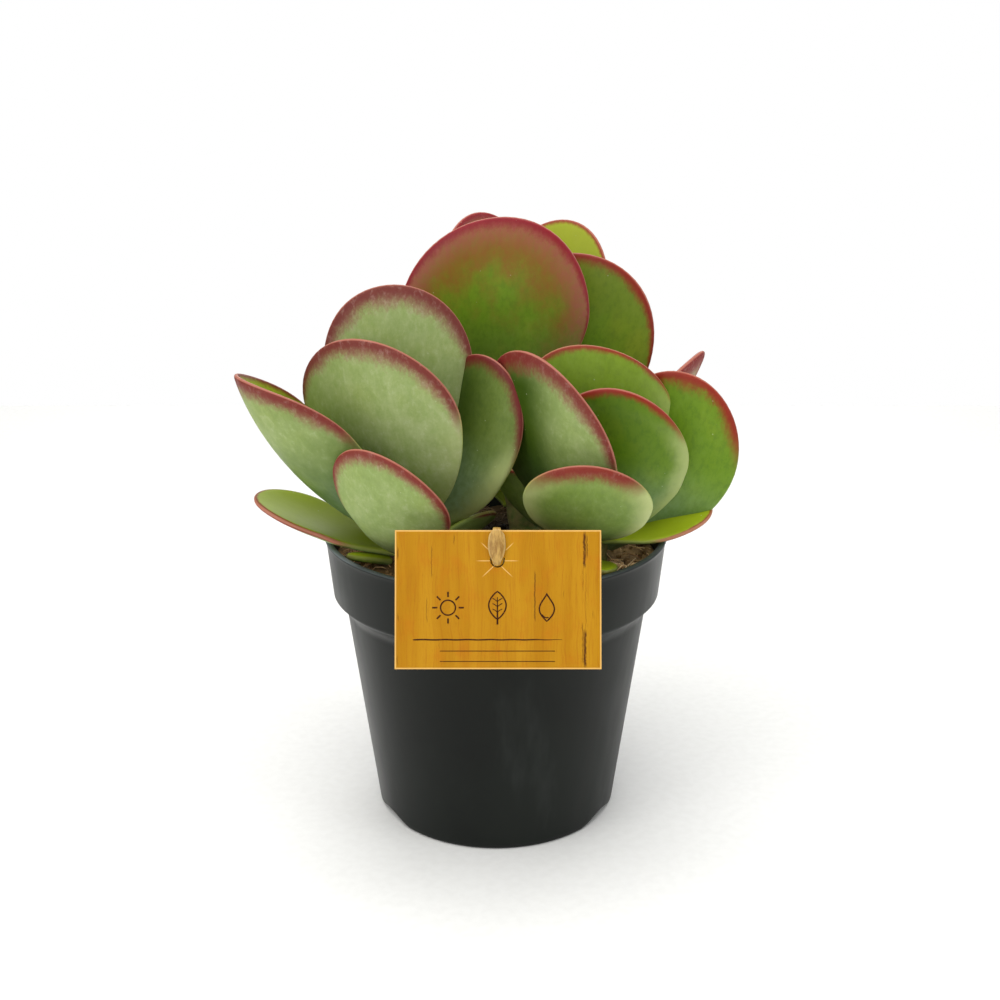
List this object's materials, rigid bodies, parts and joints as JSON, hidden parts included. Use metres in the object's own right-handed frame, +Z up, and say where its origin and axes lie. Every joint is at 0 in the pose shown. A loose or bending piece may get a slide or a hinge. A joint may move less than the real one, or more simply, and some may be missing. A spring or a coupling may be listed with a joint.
{
  "type": "potted paddle plant",
  "caption": "Paddle-leaf succulent with rosettes of thick round waxy leaves in a filled black nursery pot, with a blank ochre label card clipped in front.",
  "frame": {"origin": "centre of the pot's underside, on the ground", "axes": "+Z up along the pot's axis; the front, with the label card, faces -Y; +X is to the right seen from the front"},
  "size_m": [0.166, 0.1384, 0.2108],
  "materials": {
    "pot_plastic": "satin",
    "peat": "rough",
    "stem": "matte",
    "leaf": "waxy satin",
    "card": "satin printed card",
    "clip_plastic": "translucent satin"
  },
  "bodies": {
    "root": {"pot": "pot_plastic", "stem_left": "stem", "stem_right": "stem", "stem_rear": "stem", "leaf_left_sprout": "leaf", "leaf_left_side_low_left": "leaf", "leaf_left_side_low_right": "leaf", "leaf_left_front_low": "leaf", "leaf_left_back_low": "leaf", "leaf_left_side_left": "leaf", "leaf_left_side_right": "leaf", "leaf_left_front_mid": "leaf", "leaf_left_back_mid": "leaf", "leaf_left_front_top": "leaf", "leaf_left_inner_left": "leaf", "leaf_left_inner_right": "leaf", "leaf_right_sprout": "leaf", "leaf_right_side_low_left": "leaf", "leaf_right_side_low_right": "leaf", "leaf_right_front_low": "leaf", "leaf_right_side_left": "leaf", "leaf_right_side_right": "leaf", "leaf_right_front_mid": "leaf", "leaf_right_front_top": "leaf", "leaf_right_back_right": "leaf", "leaf_right_back_mid": "leaf", "leaf_right_inner_left": "leaf", "leaf_right_inner_right": "leaf", "leaf_rear_back_low": "leaf", "leaf_rear_side_low_left": "leaf", "leaf_rear_side_low_right": "leaf", "leaf_rear_front": "leaf", "leaf_rear_back": "leaf", "leaf_rear_right": "leaf", "leaf_rear_back_right": "leaf", "leaf_rear_left": "leaf", "soil": "peat", "label_card": "card", "label_clip": "clip_plastic"}
  },
  "joints": []
}
